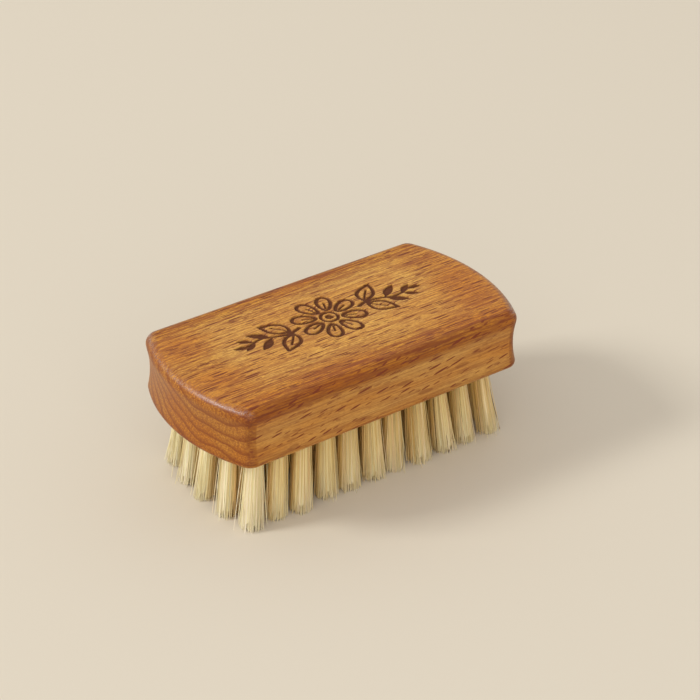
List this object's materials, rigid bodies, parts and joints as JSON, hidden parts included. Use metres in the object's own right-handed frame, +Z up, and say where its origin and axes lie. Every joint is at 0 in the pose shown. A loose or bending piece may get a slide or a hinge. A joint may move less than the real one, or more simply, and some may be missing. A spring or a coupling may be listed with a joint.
{
  "type": "nail brush",
  "caption": "Small wooden nail brush: a coved beech block with bowed ends, filled with tufts of natural bristle held by flat wire anchors.",
  "frame": {"origin": "middle of the plane of the trimmed bristle tips, on which the brush stands", "axes": "+X along the block, +Y across it, +Z up through the bristles to the top of the block"},
  "size_m": [0.07, 0.0356, 0.0282],
  "materials": {
    "beech": "satin oiled",
    "bristle": "matte natural bristle",
    "anchor_steel": "bare drawn wire"
  },
  "bodies": {
    "root": {"block": "beech", "tuft_r1_c1": "bristle", "tuft_r1_c2": "bristle", "tuft_r1_c3": "bristle", "tuft_r1_c4": "bristle", "tuft_r1_c5": "bristle", "tuft_r1_c6": "bristle", "tuft_r1_c7": "bristle", "tuft_r1_c8": "bristle", "tuft_r1_c9": "bristle", "tuft_r1_c10": "bristle", "tuft_r1_c11": "bristle", "tuft_r2_c1": "bristle", "tuft_r2_c2": "bristle", "tuft_r2_c3": "bristle", "tuft_r2_c4": "bristle", "tuft_r2_c5": "bristle", "tuft_r2_c6": "bristle", "tuft_r2_c7": "bristle", "tuft_r2_c8": "bristle", "tuft_r2_c9": "bristle", "tuft_r2_c10": "bristle", "tuft_r2_c11": "bristle", "tuft_r3_c1": "bristle", "tuft_r3_c2": "bristle", "tuft_r3_c3": "bristle", "tuft_r3_c4": "bristle", "tuft_r3_c5": "bristle", "tuft_r3_c6": "bristle", "tuft_r3_c7": "bristle", "tuft_r3_c8": "bristle", "tuft_r3_c9": "bristle", "tuft_r3_c10": "bristle", "tuft_r3_c11": "bristle", "tuft_r4_c1": "bristle", "tuft_r4_c2": "bristle", "tuft_r4_c3": "bristle", "tuft_r4_c4": "bristle", "tuft_r4_c5": "bristle", "tuft_r4_c6": "bristle", "tuft_r4_c7": "bristle", "tuft_r4_c8": "bristle", "tuft_r4_c9": "bristle", "tuft_r4_c10": "bristle", "tuft_r4_c11": "bristle", "tuft_r5_c1": "bristle", "tuft_r5_c2": "bristle", "tuft_r5_c3": "bristle", "tuft_r5_c4": "bristle", "tuft_r5_c5": "bristle", "tuft_r5_c6": "bristle", "tuft_r5_c7": "bristle", "tuft_r5_c8": "bristle", "tuft_r5_c9": "bristle", "tuft_r5_c10": "bristle", "tuft_r5_c11": "bristle", "anchor_wires": "anchor_steel"}
  },
  "joints": []
}
